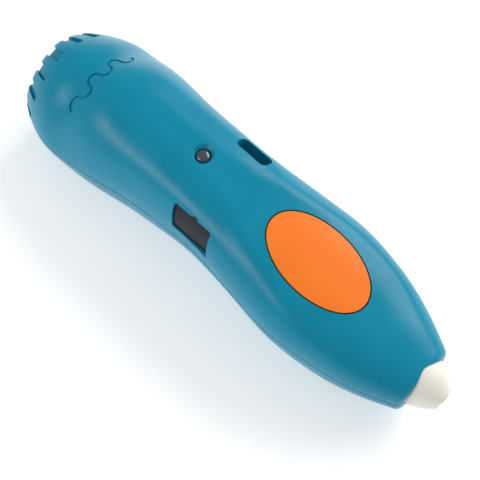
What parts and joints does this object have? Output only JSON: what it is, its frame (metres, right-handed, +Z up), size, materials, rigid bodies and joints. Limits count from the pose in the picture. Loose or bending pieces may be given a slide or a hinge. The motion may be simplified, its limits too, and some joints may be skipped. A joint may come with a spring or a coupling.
{
  "type": "3-d drawing pen",
  "caption": "Handheld 3-D drawing pen: waisted two-shell body with an oval thumb button, side power switch, charging slot, notched rear rim and white nozzle.",
  "frame": {"origin": "bottom centre of the pen's bounding box as it lies on its belly", "axes": "+X along the pen from the strand port to the nozzle, +Z up through the thumb button, +Y towards the charging slot"},
  "size_m": [0.1551, 0.0446, 0.0388],
  "materials": {
    "teal_shell": "satin moulded",
    "orange_button": "satin moulded",
    "nozzle_white": "matt heat-proof",
    "switch_dark": "matt moulded",
    "lens_smoke": "smoked clear",
    "dark_plastic": "matt",
    "natural_plastic": "matt",
    "steel": "brushed",
    "brass": "turned",
    "bronze": "sintered",
    "board_green": "solder mask",
    "ptfe": "waxy",
    "ceramic": "fired",
    "foam": "foam",
    "cell_wrap": "foil pouch",
    "wire_red": "insulation"
  },
  "bodies": {
    "housing": {"top_shell": "teal_shell", "bottom_shell": "teal_shell", "shell_screws": "steel", "tact_switch_body": "dark_plastic", "button_board": "board_green", "slide_switch_body": "steel", "led_lens": "lens_smoke", "status_led": "natural_plastic", "usb_socket": "steel", "usb_tongue": "dark_plastic", "usb_board": "board_green", "main_board": "board_green", "board_chips": "dark_plastic", "battery_cell": "cell_wrap", "battery_cradle": "dark_plastic", "battery_pad": "foam", "motor_can": "steel", "motor_gearbox": "brass", "frame_plate_rear": "dark_plastic", "frame_plate_front": "dark_plastic", "frame_pillars": "brass", "frame_screws": "steel", "feed_bushes": "bronze", "shaft_bush": "bronze", "strand_port": "dark_plastic", "rear_guide_tube": "ptfe", "front_guide_tube": "ptfe", "heater_barrel": "brass", "heater_coil": "ceramic", "insulation_sleeve": "ceramic", "thermistor": "ceramic", "melt_nozzle": "brass", "nozzle_cover": "nozzle_white", "battery_leads": "wire_red", "motor_leads": "wire_red", "usb_leads": "wire_red", "button_leads": "wire_red", "heater_leads": "wire_red"},
    "button": {"feed_button": "orange_button"},
    "plunger": {"tact_plunger": "dark_plastic"},
    "power_switch": {"power_switch_cap": "switch_dark", "slide_switch_lever": "dark_plastic"},
    "feed_wheel": {"feed_gear": "natural_plastic", "feed_thread": "steel"},
    "motor_output": {"drive_shaft": "steel", "drive_pinion": "brass"}
  },
  "joints": [
    {"name": "button_press", "type": "slide", "parent": "housing", "child": "button", "axis": [-0.1959, 0, -0.9806], "range_m": [0, 0.0007], "stiffness_N_per_m": 900, "springref_m": -0.0008},
    {"name": "plunger_press", "type": "slide", "parent": "housing", "child": "plunger", "axis": [-0.1959, 0, -0.9806], "range_m": [0, 0.0007]},
    {"name": "power_slide", "type": "slide", "parent": "housing", "child": "power_switch", "axis": [1, 0, 0], "range_m": [0, 0.003]},
    {"name": "feed_spin", "type": "hinge", "parent": "housing", "child": "feed_wheel", "pos_m": [0.0057, 0, 0.0142], "axis": [1, 0, 0], "continuous": true},
    {"name": "motor_spin", "type": "hinge", "parent": "housing", "child": "motor_output", "pos_m": [0.0057, 0, 0.0242], "axis": [1, 0, 0], "continuous": true}
  ],
  "couplings": [
    {"joint": "plunger_press", "follows": "button_press", "ratio": 1},
    {"joint": "motor_spin", "follows": "feed_spin", "ratio": -2.3333}
  ]
}
